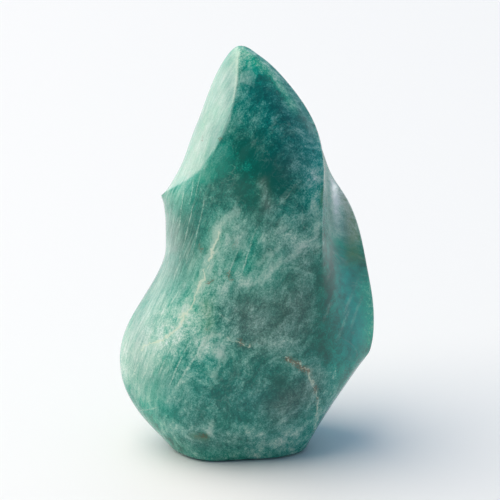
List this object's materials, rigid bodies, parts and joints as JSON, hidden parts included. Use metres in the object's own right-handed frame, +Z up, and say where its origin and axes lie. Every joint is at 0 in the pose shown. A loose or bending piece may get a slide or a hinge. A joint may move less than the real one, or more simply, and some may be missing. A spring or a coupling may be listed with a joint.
{
  "type": "polished amazonite flame",
  "caption": "Polished free-form flame of blue-green amazonite with a pointed tip, winding sharp ridges, hollowed sides and a small flat base that it stands on.",
  "frame": {"origin": "near the middle of the flat base, under the tip, on the surface that the stone stands on", "axes": "+Z up from the base to the tip, -Y towards the side that the picture shows, -X towards the side lobe and the sharp corner on its left"},
  "size_m": [0.0609, 0.0421, 0.1],
  "materials": {
    "polished_amazonite": "polished blue-green stone with pale streaks and veins"
  },
  "bodies": {
    "root": {"flame_stone": "polished_amazonite"}
  },
  "joints": []
}
